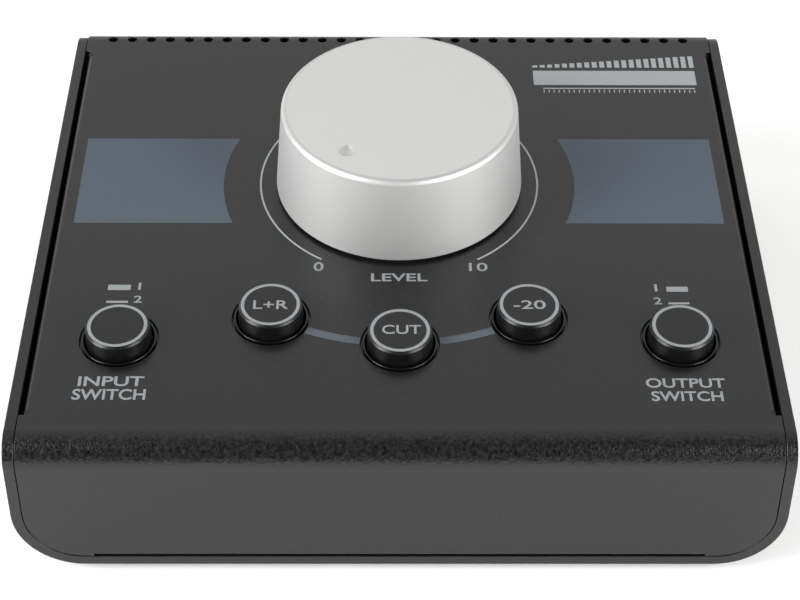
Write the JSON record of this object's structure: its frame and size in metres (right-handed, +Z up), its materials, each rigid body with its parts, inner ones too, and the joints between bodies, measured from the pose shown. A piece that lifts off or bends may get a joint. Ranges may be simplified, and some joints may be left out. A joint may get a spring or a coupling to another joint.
{
  "type": "studio monitor controller",
  "caption": "Wedge-shaped desktop box with bent-metal housing, large round volume knob and a row of round push buttons; switches monitors and sources and sets level.",
  "frame": {"origin": "on the table under the middle of the object's box", "axes": "+X to the user's right, +Y to the back of the unit, +Z up"},
  "size_m": [0.1954, 0.1778, 0.081],
  "materials": {
    "shell_paint": "satin fine-texture powder coat on bent sheet",
    "cover_paint": "satin fine-texture powder coat on bent sheet, printed legends",
    "foot_rubber": "matt",
    "black_screw": "black zinc",
    "knob_metal": "satin anodised, bright top edge",
    "moulded_plastic": "moulded",
    "turned_metal": "nickel plated",
    "pressed_steel": "tinned",
    "board": "solder mask",
    "ribbon": "flat cable",
    "jack_plastic": "moulded",
    "button_plastic": "satin gloss, printed ring",
    "collar_plastic": "satin gloss",
    "spring_steel": "bright wire"
  },
  "bodies": {
    "housing": {"base_shell": "shell_paint", "top_cover": "cover_paint", "feet": "foot_rubber", "cover_screws": "black_screw", "pot_bushing": "turned_metal", "pot_can": "pressed_steel", "pot_track": "board", "pot_washer": "turned_metal", "pot_nut": "turned_metal", "control_board": "board", "panel_standoffs": "turned_metal", "panel_board_screws": "turned_metal", "jack_board": "board", "jack_board_standoffs": "turned_metal", "jack_board_screws": "turned_metal", "control_header": "moulded_plastic", "jack_header": "moulded_plastic", "ribbon_cable": "ribbon", "mini_jack": "jack_plastic", "jack_washers": "turned_metal", "jack_nuts": "turned_metal", "output_a_left_jack": "jack_plastic", "output_a_right_jack": "jack_plastic", "output_b_left_jack": "jack_plastic", "output_b_right_jack": "jack_plastic", "input_b_left_jack": "jack_plastic", "input_b_right_jack": "jack_plastic", "input_a_left_jack": "jack_plastic", "input_a_right_jack": "jack_plastic", "source_collar": "collar_plastic", "source_switch": "moulded_plastic", "source_spring": "spring_steel", "mono_collar": "collar_plastic", "mono_switch": "moulded_plastic", "mono_spring": "spring_steel", "mute_collar": "collar_plastic", "mute_switch": "moulded_plastic", "mute_spring": "spring_steel", "dim_collar": "collar_plastic", "dim_switch": "moulded_plastic", "dim_spring": "spring_steel", "monitor_collar": "collar_plastic", "monitor_switch": "moulded_plastic", "monitor_spring": "spring_steel"},
    "knob": {"knob_cap": "knob_metal", "knob_hub": "moulded_plastic", "pot_shaft": "turned_metal", "pot_rotor": "moulded_plastic"},
    "source_key": {"source_button": "button_plastic", "source_stem": "moulded_plastic"},
    "mono_key": {"mono_button": "button_plastic", "mono_stem": "moulded_plastic"},
    "mute_key": {"mute_button": "button_plastic", "mute_stem": "moulded_plastic"},
    "dim_key": {"dim_button": "button_plastic", "dim_stem": "moulded_plastic"},
    "monitor_key": {"monitor_button": "button_plastic", "monitor_stem": "moulded_plastic"}
  },
  "joints": [
    {"name": "knob_turn", "type": "hinge", "parent": "housing", "child": "knob", "pos_m": [0, 0.01201, 0.05153], "axis": [0, 0.0872, -0.9962], "range_deg": [0, 288]},
    {"name": "source_press", "type": "slide", "parent": "housing", "child": "source_key", "axis": [0, 0.0872, -0.9962], "range_m": [0, 0.003], "stiffness_N_per_m": 400, "springref_m": -0.002, "deforming": ["source_spring"]},
    {"name": "mono_press", "type": "slide", "parent": "housing", "child": "mono_key", "axis": [0, 0.0872, -0.9962], "range_m": [0, 0.003], "stiffness_N_per_m": 400, "springref_m": -0.002, "deforming": ["mono_spring"]},
    {"name": "mute_press", "type": "slide", "parent": "housing", "child": "mute_key", "axis": [0, 0.0872, -0.9962], "range_m": [0, 0.003], "stiffness_N_per_m": 400, "springref_m": -0.002, "deforming": ["mute_spring"]},
    {"name": "dim_press", "type": "slide", "parent": "housing", "child": "dim_key", "axis": [0, 0.0872, -0.9962], "range_m": [0, 0.003], "stiffness_N_per_m": 400, "springref_m": -0.002, "deforming": ["dim_spring"]},
    {"name": "monitor_press", "type": "slide", "parent": "housing", "child": "monitor_key", "axis": [0, 0.0872, -0.9962], "range_m": [0, 0.003], "stiffness_N_per_m": 400, "springref_m": -0.002, "deforming": ["monitor_spring"]}
  ]
}
